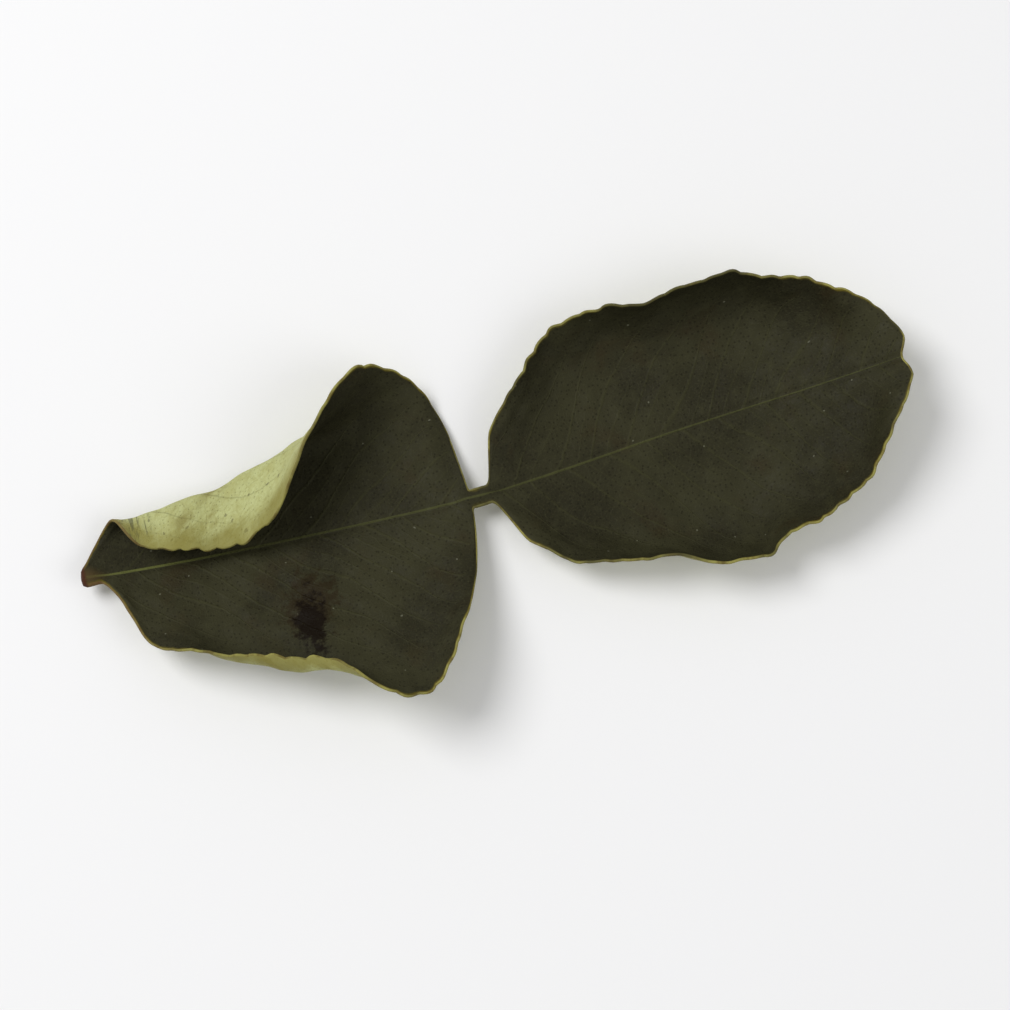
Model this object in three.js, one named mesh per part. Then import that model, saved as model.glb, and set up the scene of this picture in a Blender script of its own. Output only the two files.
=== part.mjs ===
// A dried makrut lime leaf: stalk end, winged petiole, narrow joint and blade, grown as one piece.
// Millimetres, +Z up. It lies on its underside, with the stalk end towards -X and the tip towards +X.
// "Place" is the distance along the midrib from the stalk's cut end, measured on the flattened leaf.
// Side 1 is the half of the leaf towards +Y, side -1 the half towards -Y.

import * as THREE from "three";

const { degToRad, lerp, smoothstep } = THREE.MathUtils;

// Driving dimensions of the flattened leaf
const STALK_LENGTH = 0.6;
const STALK_WIDTH = 1.15;
const WING_LENGTH = 42;
const WING_WIDTH = 40.4;
const JOINT_LENGTH = 1.6;
const JOINT_WIDTH = 1.7;
const BLADE_LENGTH = 49;
const BLADE_WIDTH = 37;
const TIP_BLUNTING = 0.6;
const THICKNESS = 0.7;

const JOINT_PLACE = STALK_LENGTH + WING_LENGTH;
const BLADE_PLACE = JOINT_PLACE + JOINT_LENGTH;
const LEAF_LENGTH = BLADE_PLACE + BLADE_LENGTH;

// How each lobe's half width grows from its foot, where it is widest, and how round its far end is.
// The blade's tip is blunt: its outline would close only TIP_BLUNTING further on
const WING_SHAPE = { foot: 0.48, shoulder: 7, cap: 0.62, flare: 0.12 };
const BLADE_SHAPE = { foot: 0.62, shoulder: 1.3, cap: 0.7, flare: 0.055 };

// On the side towards +Y the wing starts this much sooner than on average, on the other side this much later
const FOOT_LEAD = 1.7;
const FOOT_LAG = 0.5;

// Rounded teeth along both margins, and the notch at the tip
const ROWS_PER_TOOTH = 2;
const TOOTH_DEPTH = 0.45;
const NOTCH_DEPTH = 0.8;
const NOTCH_WIDTH = 1.25;

// Small breaks in the brittle margins
const NICKS = [
  { place: 20, side: 1, depth: 0.6, reach: 1.4 },
  { place: 62, side: 1, depth: 0.9, reach: 1.6 },
  { place: 74, side: -1, depth: 1.3, reach: 1.9 },
];

// Midrib: its half width, how far it stands out below, and how the upper face lies over it
const RIB_HALF = 0.8;
const RIB_DEPTH = 0.45;
const STALK_CROWN = 0.22;
const STALK_SWELL = 0.1;

// Faceting: rows across the leaf, and the columns from the midrib to a margin
const ROWS = 112;
const RIB_COLUMNS = [0.5, 1];
const LAMINA_COLUMNS = [0.17, 0.31, 0.42, 0.51, 0.6, 0.69, 0.78, 0.865, 0.94, 1];
const SPINE_STEP = 0.25;

// Where the leaf touches the surface: under the wing's midrib, and under each half of the blade.
// Its own weight has pressed these low points flat, over this height
const LOW_POINTS = [
  { side: 0, from: 7, to: 31 },
  { side: -1, from: 53, to: 79 },
  { side: 1, from: 53, to: 79 },
];
const PRESSED_FLAT = 0.1;

// A hump that is 0 before a, 1 between b and c, and 0 after d
function hump(x, a, b, c, d) {
  return smoothstep(x, a, b) * (1 - smoothstep(x, c, d));
}

// Outline

function lobe(part, shape) {
  if (part <= 0 || part >= 1) return 0;
  const { foot, shoulder, cap, flare } = shape;
  const grown = (x) => x ** foot * (1 - x ** shoulder) ** cap;
  const widest = (foot / (foot + shoulder * cap)) ** (1 / shoulder);
  return (grown(part) / grown(widest)) * smoothstep(part, 0, flare);
}

function halfWidth(place) {
  const wing = (WING_WIDTH / 2) * lobe((place - STALK_LENGTH) / WING_LENGTH, WING_SHAPE);
  const closing = BLADE_LENGTH + TIP_BLUNTING;
  const blade = (BLADE_WIDTH / 2) * lobe((place - BLADE_PLACE) / closing, BLADE_SHAPE);
  const stalk = lerp(STALK_WIDTH / 2, JOINT_WIDTH / 2, smoothstep(place, STALK_LENGTH, JOINT_PLACE));
  const swollen = 1 + STALK_SWELL * (1 - smoothstep(place, 0, STALK_LENGTH));
  const core = stalk * swollen * (1 - 0.7 * smoothstep(place, BLADE_PLACE, LEAF_LENGTH));
  return Math.hypot(core, wing + blade);
}

// The two halves aren't quite alike: the one towards -Y is the broader, mostly at the wing's shoulder
function sideWidth(place, side) {
  const onBlade = smoothstep(place, JOINT_PLACE, BLADE_PLACE);
  const uneven = lerp(0.085 * smoothstep(place, 18, 33) - 0.01, 0.015, onBlade);
  const broader = lerp(0.025, 0, onBlade) - side * uneven;
  const lead =
    side > 0 ? FOOT_LEAD * (1 - smoothstep(place, 0, 5)) : -FOOT_LAG * (1 - smoothstep(place, 3, 9));
  return halfWidth(place + lead) * (1 + broader + 0.02 * Math.sin(0.23 * place + side));
}

// Rows lie at even steps along the margin, so that every tooth gets as many
function rowPlaces() {
  const samples = 4000;
  const along = [0];
  for (let i = 1; i <= samples; i += 1) {
    const from = (LEAF_LENGTH * (i - 1)) / samples;
    const to = (LEAF_LENGTH * i) / samples;
    along.push(along[i - 1] + Math.hypot(to - from, halfWidth(to) - halfWidth(from)));
  }
  const places = [];
  let i = 0;
  for (let row = 0; row < ROWS; row += 1) {
    const wanted = (along[samples] * row) / (ROWS - 1);
    while (i < samples - 1 && along[i + 1] < wanted) i += 1;
    const share = (wanted - along[i]) / (along[i + 1] - along[i]);
    places.push((LEAF_LENGTH * (i + share)) / samples);
  }
  return places;
}

// Form of the dried leaf, all angles in degrees

// The midrib's slope, its turn to the left and the leaf's lean about it
function spineAngles(place) {
  const bend = smoothstep(place, JOINT_PLACE - 1.5, BLADE_PLACE + 1.5);
  const slope =
    -11 +
    13 * smoothstep(place, 0, 23) +
    6 * smoothstep(place, 21, JOINT_PLACE) -
    17 * bend +
    11 * smoothstep(place, BLADE_PLACE, 69) +
    27 * smoothstep(place, 67, LEAF_LENGTH);
  const turn = 3 - smoothstep(place, 0, 33) + 9 * bend - 9 * smoothstep(place, 55, LEAF_LENGTH);
  const lean = -4 + 9 * bend - 7 * smoothstep(place, 67, LEAF_LENGTH);
  return { slope, turn, lean };
}

// Both lobes lie flat at their ends, next to the stalk and the joint
function opened(place) {
  const wing = hump(place, STALK_LENGTH, STALK_LENGTH + 3, JOINT_PLACE - 3, JOINT_PLACE + 0.5);
  const blade = hump(place, BLADE_PLACE - 0.5, BLADE_PLACE + 5, LEAF_LENGTH - 6, LEAF_LENGTH + 3);
  return wing + blade;
}

// How far the margin rolls up over the upper face, where the roll starts, and how wide a strip it takes.
// On side 1 of the wing the roll is a fold, along a line that leaves the midrib slowly
function marginRoll(place, side, width) {
  const onBlade = smoothstep(place, JOINT_PLACE, BLADE_PLACE);
  if (side > 0) {
    const folded = hump(place, 0.5, 7, 16, 38);
    const raised = hump(place, 49, 71, 75, 95);
    return {
      angle: lerp(40 + 126 * folded, 30 + 38 * raised, onBlade),
      start: lerp(1.7 + 0.215 * place, width - 11, onBlade),
      strip: lerp(5.8, 11, onBlade),
    };
  }
  const curled = hump(place, 5, 21, 23, 34);
  const raised = hump(place, 44, 58, 61, 85);
  return {
    angle: lerp(10 + 112 * curled, 26 + 36 * raised, onBlade),
    start: width - lerp(6 - 2.3 * curled, 10, onBlade),
    strip: lerp(6 - 2.3 * curled, 10, onBlade),
  };
}

// The slope of the upper face across the leaf, at a distance from the midrib. The wing opens like a
// shallow V, and the blade's halves sag a little before they rise
function crossSlope(place, side, distance, width) {
  const onBlade = smoothstep(place, JOINT_PLACE, BLADE_PLACE);
  const opening = lerp(side > 0 ? 5 : 6, -12, onBlade);
  const dish = lerp(0.7, 1.75, onBlade);
  const roll = marginRoll(place, side, width);
  const rolled = smoothstep(distance, roll.start, roll.start + roll.strip);
  const rise = opening * smoothstep(distance, 0.3, 2.5) + dish * distance + roll.angle * rolled;
  return rise * opened(place);
}

// Shallow waves that grow towards the margin
function wave(place, side, share) {
  const long = Math.sin((2 * Math.PI * place) / 17 + 1.9 * side);
  const short = Math.sin((2 * Math.PI * place) / 7.3 + 0.8 * side);
  return share ** 1.6 * (0.55 * long + 0.25 * short);
}

// Points of the midrib and the directions along, across and up from it, at even steps
function makeSpine() {
  const stations = [];
  const point = new THREE.Vector3();
  for (let place = 0; place <= LEAF_LENGTH + SPINE_STEP; place += SPINE_STEP) {
    const { slope, turn, lean } = spineAngles(place);
    const order = new THREE.Euler(degToRad(lean), degToRad(-slope), degToRad(turn), "ZYX");
    const [along, across, up] = [new THREE.Vector3(), new THREE.Vector3(), new THREE.Vector3()];
    new THREE.Matrix4().makeRotationFromEuler(order).extractBasis(along, across, up);
    stations.push({ point: point.clone(), along, across, up });
    point.addScaledVector(along, SPINE_STEP);
  }
  return stations;
}

function spineAt(stations, place) {
  const at = place / SPINE_STEP;
  const first = Math.min(Math.floor(at), stations.length - 2);
  const share = at - first;
  const between = (key) => stations[first][key].clone().lerp(stations[first + 1][key], share);
  return {
    point: between("point"),
    along: between("along").normalize(),
    across: between("across").normalize(),
    up: between("up").normalize(),
  };
}

// Distances from the midrib of one side's columns
function columnDistances(width) {
  const rib = Math.min(RIB_HALF, 0.5 * width);
  const inner = RIB_COLUMNS.map((share) => rib * share);
  const outer = LAMINA_COLUMNS.map((share) => lerp(rib, width, share));
  return [...inner, ...outer];
}

// One side of a row of the underside, from the midrib out to the margin
function halfRow(frame, place, side, edge) {
  const width = sideWidth(place, side);
  const points = [];
  const steps = 24;
  let distance = 0;
  let out = 0;
  let rise = 0;
  for (const wanted of columnDistances(width)) {
    const step = (wanted - distance) / steps;
    for (let i = 0; i < steps; i += 1) {
      const slope = degToRad(crossSlope(place, side, distance + step / 2, width));
      out += step * Math.cos(slope);
      rise += step * Math.sin(slope);
      distance += step;
    }
    const slope = degToRad(crossSlope(place, side, distance, width));
    const share = distance / width;
    const lift = wave(place, side, share) * Math.min(1, width / 10);
    const reach = edge.reach * share ** 8;
    const outwards = reach * edge.outwards;
    const x = out - lift * Math.sin(slope) + outwards * Math.cos(slope);
    const z = rise + lift * Math.cos(slope) + outwards * Math.sin(slope);
    points.push(
      frame.point
        .clone()
        .addScaledVector(frame.along, reach * edge.forwards - tipNotch(place, distance))
        .addScaledVector(frame.across, side * x)
        .addScaledVector(frame.up, z),
    );
  }
  return points;
}

// The tip is drawn back at the midrib
function tipNotch(place, distance) {
  const near = smoothstep(place, LEAF_LENGTH - 5, LEAF_LENGTH);
  return NOTCH_DEPTH * near * Math.exp(-((distance / NOTCH_WIDTH) ** 2));
}

// How large the teeth are: 0 near the stalk and the joint, and 1 further out on both lobes
function toothed(place) {
  const wing = hump(place, STALK_LENGTH + 3, STALK_LENGTH + 12, JOINT_PLACE - 1, JOINT_PLACE);
  return wing + smoothstep(place, BLADE_PLACE + 2, BLADE_PLACE + 10);
}

// How far a row's tooth stands out, or a nick draws the margin in, at right angles to the outline.
// The teeth fade where the outline turns across the midrib
function edgeAt(row, place, side) {
  const span = 0.5;
  const widening = halfWidth(place + span) - halfWidth(place - span);
  const length = Math.hypot(2 * span, widening);
  const outwards = (2 * span) / length;
  const phase = row / ROWS_PER_TOOTH + (side > 0 ? 0.5 : 0);
  const size = TOOTH_DEPTH * toothed(place) * outwards ** 2 * (1 + 0.35 * Math.sin(1.7 * row));
  const nicks = NICKS.filter((nick) => nick.side === side).map(
    (nick) => nick.depth * (1 - smoothstep(Math.abs(place - nick.place), 0, nick.reach)),
  );
  return {
    reach: size * Math.abs(Math.sin(Math.PI * phase)) - Math.max(...nicks),
    outwards,
    forwards: -widening / length,
  };
}

// How far the underside stands out below the lamina along the midrib
function ribBelow(place, distance) {
  const fade = 1 - 0.75 * smoothstep(place, BLADE_PLACE, LEAF_LENGTH);
  const share = Math.min(1, distance / RIB_HALF);
  return RIB_DEPTH * fade * (1 - share ** 2) ** 2;
}

// The upper face stands up along the stalk and the joint, and sinks a little along the midrib elsewhere
function ribAbove(place, distance) {
  const wing = hump(place, STALK_LENGTH, STALK_LENGTH + 2.5, JOINT_PLACE - 2, JOINT_PLACE);
  const bare = 1 - wing - smoothstep(place, BLADE_PLACE, BLADE_PLACE + 2.5);
  const share = Math.min(1, distance / RIB_HALF);
  return lerp(-0.12, STALK_CROWN, bare) * (1 - share ** 2) ** 2;
}

// The grid of the underside's points, one row for each place, from side -1 to side 1
function undersideGrid() {
  const stations = makeSpine();
  return rowPlaces().map((place, row) => {
    const frame = spineAt(stations, place);
    const near = halfRow(frame, place, -1, edgeAt(row, place, -1));
    const far = halfRow(frame, place, 1, edgeAt(row, place, 1));
    const middle = frame.point.clone().addScaledVector(frame.along, -tipNotch(place, 0));
    const points = [...near.reverse(), middle, ...far];
    const distances = [
      ...columnDistances(sideWidth(place, -1)).reverse(),
      0,
      ...columnDistances(sideWidth(place, 1)),
    ];
    return { place, points, distances };
  });
}

// The direction that the upper face looks in, at one point of the grid
function normalAt(grid, row, column) {
  const lastRow = grid.length - 1;
  const lastColumn = grid[0].points.length - 1;
  const before = grid[Math.max(0, row - 1)].points[column];
  const after = grid[Math.min(lastRow, row + 1)].points[column];
  const right = grid[row].points[Math.max(0, column - 1)];
  const left = grid[row].points[Math.min(lastColumn, column + 1)];
  const along = new THREE.Vector3().subVectors(after, before);
  const across = new THREE.Vector3().subVectors(left, right);
  return along.cross(across).normalize();
}

// The points of both faces, with where each lies on the leaf
function leafFaces() {
  const grid = undersideGrid();
  const middle = (grid[0].points.length - 1) / 2;
  const faces = { columns: grid[0].points.length, rows: grid.length, lower: [], upper: [] };
  grid.forEach(({ place, points, distances }, row) => {
    points.forEach((point, column) => {
      const normal = normalAt(grid, row, column);
      const distance = distances[column];
      const side = distance > RIB_HALF ? Math.sign(column - middle) : 0;
      const below = point.clone().addScaledVector(normal, -ribBelow(place, distance));
      const above = THICKNESS + ribAbove(place, distance);
      faces.lower.push({ place, side, point: below });
      faces.upper.push({ place, side, point: point.clone().addScaledVector(normal, above) });
    });
  });
  return faces;
}

function lowest(places) {
  return places.reduce((low, next) => (next.point.z < low.point.z ? next : low)).point;
}

// Turns the leaf onto its three low points, with the line from stalk to tip along X
function layDown({ lower, upper, columns }) {
  const points = [...lower, ...upper].map(({ point }) => point);
  const vertical = new THREE.Vector3(0, 0, 1);
  const turns = 5;
  for (let i = 0; i < turns; i += 1) {
    const [a, b, c] = LOW_POINTS.map(({ side, from, to }) =>
      lowest(lower.filter((spot) => spot.side === side && spot.place > from && spot.place < to)),
    );
    const normal = b.clone().sub(a).cross(c.clone().sub(a)).normalize();
    const level = new THREE.Quaternion().setFromUnitVectors(normal, vertical);
    points.forEach((point) => point.applyQuaternion(level));
  }
  const middle = (columns - 1) / 2;
  const line = lower[lower.length - 1 - middle].point.clone().sub(lower[middle].point);
  points.forEach((point) => point.applyAxisAngle(vertical, -Math.atan2(line.y, line.x)));
}

// A closed mesh: both faces split into triangles alike, along the shorter diagonals, and a rim all round
function leafGeometry({ lower, upper, columns, rows }) {
  const triangles = [];
  const quad = (a, b, c, d) => triangles.push(a, b, c, a, c, d);
  const low = (row, column) => row * columns + column;
  const up = lower.length;
  const high = (row, column) => up + low(row, column);
  const apart = (a, b) => lower[a].point.distanceTo(lower[b].point);
  for (let row = 0; row < rows - 1; row += 1) {
    for (let column = 0; column < columns - 1; column += 1) {
      const next = column + 1;
      const corners = [low(row, column), low(row, next), low(row + 1, next), low(row + 1, column)];
      if (apart(corners[0], corners[2]) > apart(corners[1], corners[3])) corners.push(corners.shift());
      const [a, b, c, d] = corners;
      quad(a, b, c, d);
      quad(up + a, up + d, up + c, up + b);
    }
    const last = columns - 1;
    quad(low(row, 0), low(row + 1, 0), high(row + 1, 0), high(row, 0));
    quad(low(row + 1, last), low(row, last), high(row, last), high(row + 1, last));
  }
  const end = rows - 1;
  for (let column = 0; column < columns - 1; column += 1) {
    const next = column + 1;
    quad(low(0, next), low(0, column), high(0, column), high(0, next));
    quad(low(end, column), low(end, next), high(end, next), high(end, column));
  }
  const points = [...lower, ...upper].map(({ point }) => point);
  return new THREE.BufferGeometry().setFromPoints(points).setIndex(triangles);
}

// Presses the low points flat, and puts the origin on the surface below the middle of the leaf
function settle(geometry) {
  geometry.computeBoundingBox();
  const { min, max } = geometry.boundingBox;
  const surface = min.z + PRESSED_FLAT;
  geometry.translate(-(min.x + max.x) / 2, -(min.y + max.y) / 2, -surface);
  const { position } = geometry.attributes;
  for (let i = 0; i < position.count; i += 1) position.setZ(i, Math.max(0, position.getZ(i)));
  return geometry;
}

const faces = leafFaces();
layDown(faces);

const leafMaterial = new THREE.MeshStandardMaterial({ color: 0x35341f, roughness: 0.6, metalness: 0 });
const leaf = new THREE.Mesh(settle(leafGeometry(faces)), leafMaterial);
leaf.name = "leaf";

const model = new THREE.Group();
model.add(leaf);

export default model;
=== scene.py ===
"""A dried makrut lime leaf: its fine mesh, procedural materials, a pale floor, light and camera.

The leaf's form repeats the solid's, in millimetres, with the same values. A place is a distance
along the midrib from the stalk's cut end, on the flattened leaf. Side 1 is the far half, towards
+Y, with the fold, and side -1 the near half, with the curl. A share is the part of the way from the
midrib to the margin. Four places in a row say where something begins, is full, begins to fade and
has gone.
"""

import math
from types import SimpleNamespace

import bpy
import numpy as np
from mathutils import Matrix, Vector


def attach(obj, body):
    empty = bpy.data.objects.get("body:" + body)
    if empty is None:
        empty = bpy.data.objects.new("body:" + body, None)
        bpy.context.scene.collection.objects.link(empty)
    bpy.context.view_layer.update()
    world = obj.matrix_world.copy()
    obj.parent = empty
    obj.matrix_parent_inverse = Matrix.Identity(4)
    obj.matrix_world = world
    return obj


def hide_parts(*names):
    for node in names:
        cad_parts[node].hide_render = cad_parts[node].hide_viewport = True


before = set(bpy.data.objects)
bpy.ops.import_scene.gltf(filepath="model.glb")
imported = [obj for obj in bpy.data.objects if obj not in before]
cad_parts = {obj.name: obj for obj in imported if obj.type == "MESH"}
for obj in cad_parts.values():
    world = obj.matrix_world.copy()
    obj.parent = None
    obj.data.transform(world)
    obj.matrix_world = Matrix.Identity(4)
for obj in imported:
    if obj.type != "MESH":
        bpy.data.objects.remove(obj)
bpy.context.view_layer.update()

MM_PER_M = 1000

# Driving dimensions of the flattened leaf, as in the solid
STALK_LENGTH = 0.6
STALK_WIDTH = 1.15
WING_LENGTH = 42
WING_WIDTH = 40.4
JOINT_LENGTH = 1.6
JOINT_WIDTH = 1.7
BLADE_LENGTH = 49
BLADE_WIDTH = 37
SOLID_THICKNESS = 0.7
JOINT_PLACE = STALK_LENGTH + WING_LENGTH
BLADE_PLACE = JOINT_PLACE + JOINT_LENGTH
LEAF_LENGTH = BLADE_PLACE + BLADE_LENGTH

# Outline of the flattened leaf. Side 1 is ahead at the foot by the lead, and side -1 behind by the
# lag. The widening, unevenness and sway are shares of the width
WING_SHAPE = dict(foot=0.48, shoulder=7, cap=0.62, flare=0.12)
BLADE_SHAPE = dict(foot=0.62, shoulder=1.3, cap=0.7, flare=0.055)
TIP_BLUNTING = 0.6
STALK_SWELL = 0.1
CORE_TAPER = 0.7
FOOT_LEAD = 1.7
FOOT_LEAD_PLACES = (0, 5)
FOOT_LAG = 0.5
FOOT_LAG_PLACES = (3, 9)
WING_WIDENING = 0.025
FOOT_UNEVENNESS = -0.01
SHOULDER_UNEVENNESS = 0.085
SHOULDER_PLACES = (18, 33)
BLADE_UNEVENNESS = 0.015
SWAY = 0.02
SWAY_RATE = 0.23
OUTLINE_SAMPLES = 4001
OUTLINE_SPAN = 0.5
TINY = 1e-9

# Teeth, the tip's notch, and nicks by place, side, depth and half width
TEETH = 55.5
TOOTH_DEPTH = 0.45
TOOTH_VARIETY = 0.35
TOOTH_VARIETY_RATE = 3.4
TOOTH_STAGGER = 0.5
WING_TOOTHED = (STALK_LENGTH + 3, STALK_LENGTH + 12, JOINT_PLACE - 1, JOINT_PLACE)
BLADE_TOOTHED = (BLADE_PLACE + 2, BLADE_PLACE + 10)
NOTCH_DEPTH = 0.8
NOTCH_WIDTH = 1.25
NOTCH_LENGTH = 5
NICKS = ((20, 1, 0.6, 1.4), (62, 1, 0.9, 1.6), (74, -1, 1.3, 1.9))

# Midrib: a ridge below, and above a groove on the lobes and a crown on the bare stalk and joint
RIB_HALF = 0.8
RIB_LARGEST_SHARE = 0.5
RIB_DEPTH = 0.45
RIB_FADING = 0.75
STALK_CROWN = 0.22
SOLID_GROOVE = -0.12
WING_COVERED = (STALK_LENGTH, STALK_LENGTH + 2.5, JOINT_PLACE - 2, JOINT_PLACE)
BLADE_COVERED = (BLADE_PLACE, BLADE_PLACE + 2.5)

# The spine's angles in degrees: at the stalk's end, then each change and the places it lies between
BEND_PLACES = (JOINT_PLACE - 1.5, BLADE_PLACE + 1.5)
SLOPE = (-11, (13, 0, 23), (6, 21, JOINT_PLACE), (-17, *BEND_PLACES), (11, BLADE_PLACE, 69),
         (27, 67, LEAF_LENGTH))
TURN = (3, (-1, 0, 33), (9, *BEND_PLACES), (-9, 55, LEAF_LENGTH))
LEAN = (-4, (9, *BEND_PLACES), (-7, 67, LEAF_LENGTH))
SPINE_STEP = 0.05

# The cross-section's angles in degrees, of which the dish is per mm from the midrib
WING_OPEN = (STALK_LENGTH, STALK_LENGTH + 3, JOINT_PLACE - 3, JOINT_PLACE + 0.5)
BLADE_OPEN = (BLADE_PLACE - 0.5, BLADE_PLACE + 5, LEAF_LENGTH - 6, LEAF_LENGTH + 3)
WING_OPENING = {1: 5, -1: 6}
BLADE_OPENING = -12
OPENING_DISTANCES = (0.3, 2.5)
WING_DISH = 0.7
BLADE_DISH = 1.75
SECTION_STEPS = 300

# The margins' rolls: degrees everywhere, degrees more at those places, and breadths of the strips
FOLD = dict(least=40, more=126, places=(0.5, 7, 16, 38))
FAR_BLADE_ROLL = dict(least=30, more=38, places=(49, 71, 75, 95))
CURL = dict(least=10, more=112, places=(5, 21, 23, 34))
NEAR_BLADE_ROLL = dict(least=26, more=36, places=(44, 58, 61, 85))
FOLD_START = 1.7
FOLD_SLANT = 0.215
FOLD_STRIP = 5.8
FAR_BLADE_STRIP = 11
CURL_STRIP = 6
CURL_TIGHTENING = 2.3
NEAR_BLADE_STRIP = 10

# Waves of the lamina: height and length of each, and how far its phase differs between the sides
WAVES = ((0.55, 17, 1.9), (0.25, 7.3, 0.8))
WAVE_FALLOFF = 1.6
WAVE_FULL_WIDTH = 10
CALM_PLACES = (JOINT_PLACE - 0.5, JOINT_PLACE, BLADE_PLACE, BLADE_PLACE + 0.5)

# The low points that the leaf lies on, each by its side and between two places
LOW_POINTS = ((0, 7, 31), (-1, 53, 79), (1, 53, 79))
PRESSED_FLAT = 0.1
LEVELLING_ROUNDS = 5

# The solid's faceting, from which the leaf's lie on the surface is worked out
SOLID_FACETS = dict(
    rows=112, rib_columns=(0.5, 1), tooth_falloff=8,
    lamina_columns=(0.17, 0.31, 0.42, 0.51, 0.6, 0.69, 0.78, 0.865, 0.94, 1))

# The fine leaf's own faceting, thickness and relief
LAMINA_STEPS = 48
LAMINA_CROWDING = 0.85
FINE_FACETS = dict(
    rows=376, rib_columns=(0.125, 0.25, 0.4, 0.6, 0.8, 1), tooth_falloff=10,
    lamina_columns=(np.arange(1, LAMINA_STEPS + 1) / LAMINA_STEPS) ** LAMINA_CROWDING)
STRAIGHT_PLACES = (JOINT_PLACE - 1, JOINT_PLACE - 0.3, BLADE_PLACE, BLADE_PLACE + 0.3)
LAMINA_THICKNESS = 0.42
STALK_THICKNESS = 0.66
MARGIN_THINNING = 0.28
MARGIN_SHARES = (0.8, 1)
BARE_EDGES = (0.7 * RIB_HALF, 2 * RIB_HALF)
LAMINA_DISTANCES = (0.8, 2.5)
GROOVE = -0.14
RIDGE_HEIGHT = 0.06
RIDGE_HALF = 0.16
QUILT_DEPTH = 0.045
QUILT_END_SHARES = (0.75, 0.95)
PUCKER_HEIGHT = 0.05
RIPPLE_SEED = 11
RIPPLE_WAVES = 26
RIPPLE_LENGTHS = (2, 7)
RIPPLE_SCALE = 16

# Side veins: how far one runs forward per mm outwards and in its hook at the margin, the spacing,
# the stagger between the sides in spacings, and the count at the lobe's foot. Their swings: size,
# turn per mm along the leaf and outwards, and how far the phase differs between the sides
WING_VEINS = dict(foot=0, slant=1.15, hook=4, spacing=4.9, stagger=0.18, first=0)
BLADE_VEINS = dict(foot=BLADE_PLACE, slant=0.72, hook=4.5, spacing=4.4, stagger=0.22, first=20)
VEIN_SWINGS = ((0.5, 0.41, 0, 1.3), (0.35, 0.9, -0.25, 0))

# The rim: faces across it, neighbours along it that give its direction, and how far its rounding
# stands out, as a share of half its height
RIM_STEPS = 4
RIM_NEIGHBOURS = 2
RIM_ROUNDING = 0.85
SCAR_ROUNDING = 0.25
SCAR_END = 0.01

# The unwrapped map: the upper face above, the underside below, and the rim's strips between them
MAP_START = 0.01
MAP_LENGTH = 0.98
MAP_HALF = 0.235
WIDEST_HALF = 23
MAP_UPPER = 0.755
MAP_UNDER = 0.245
MAP_RIM_STRIPS = 3
MAP_RIM_START = 0.491
MAP_RIM_SPACING = 0.006
MAP_RIM_BREADTH = 0.005


def smooth(x, start, end):
    t = np.clip((x - start) / (end - start), 0, 1)
    return t * t * (3 - 2 * t)


def lerp(a, b, t):
    return a + (b - a) * t


def hump(x, start, full, fading, end):
    return smooth(x, start, full) * (1 - smooth(x, fading, end))


def unit(vectors):
    return vectors / np.linalg.norm(vectors, axis=-1, keepdims=True)


def on_blade(place):
    """0 on the wing and 1 on the blade."""
    return smooth(place, JOINT_PLACE, BLADE_PLACE)


# Outline of the flattened leaf

def lobe(part, foot, shoulder, cap, flare):
    """A lobe's half width along its length, 1 where it is widest."""
    part = np.clip(part, 0, 1)

    def grown(x):
        return x ** foot * (1 - x ** shoulder) ** cap

    widest = (foot / (foot + shoulder * cap)) ** (1 / shoulder)
    return grown(part) / grown(widest) * smooth(part, 0, flare)


def half_width(place):
    """Half the leaf's width, before its sides differ."""
    wing = WING_WIDTH / 2 * lobe((place - STALK_LENGTH) / WING_LENGTH, **WING_SHAPE)
    closing = BLADE_LENGTH + TIP_BLUNTING
    blade = BLADE_WIDTH / 2 * lobe((place - BLADE_PLACE) / closing, **BLADE_SHAPE)
    stalk = lerp(STALK_WIDTH / 2, JOINT_WIDTH / 2, smooth(place, STALK_LENGTH, JOINT_PLACE))
    swollen = 1 + STALK_SWELL * (1 - smooth(place, 0, STALK_LENGTH))
    core = stalk * swollen * (1 - CORE_TAPER * smooth(place, BLADE_PLACE, LEAF_LENGTH))
    return np.hypot(core, wing + blade)


def side_width(place, side):
    """Distance from the midrib to the margin on one side, without the teeth."""
    blade = on_blade(place)
    wing_uneven = SHOULDER_UNEVENNESS * smooth(place, *SHOULDER_PLACES) + FOOT_UNEVENNESS
    uneven = lerp(wing_uneven, BLADE_UNEVENNESS, blade)
    wider = lerp(WING_WIDENING, 0, blade) - side * uneven
    if side > 0:
        lead = FOOT_LEAD * (1 - smooth(place, *FOOT_LEAD_PLACES))
    else:
        lead = -FOOT_LAG * (1 - smooth(place, *FOOT_LAG_PLACES))
    return half_width(place + lead) * (1 + wider + SWAY * np.sin(SWAY_RATE * place + side))


def margin_distance(place, across):
    """How far out the margin lies on the side of each point."""
    return np.where(across < 0, side_width(place, -1), side_width(place, 1))


def row_places(rows):
    """Places of the rows, evenly spaced along the outline."""
    fine = np.linspace(0, LEAF_LENGTH, OUTLINE_SAMPLES)
    steps = np.hypot(np.diff(fine), np.diff(half_width(fine)))
    along = np.concatenate([[0], np.cumsum(steps)])
    return np.interp(np.linspace(0, along[-1], rows), along, fine)


def tip_notch(place, distance):
    """How far the tip is drawn back at its notch."""
    near = smooth(place, LEAF_LENGTH - NOTCH_LENGTH, LEAF_LENGTH)
    return NOTCH_DEPTH * near * np.exp(-(distance / NOTCH_WIDTH) ** 2)


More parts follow.
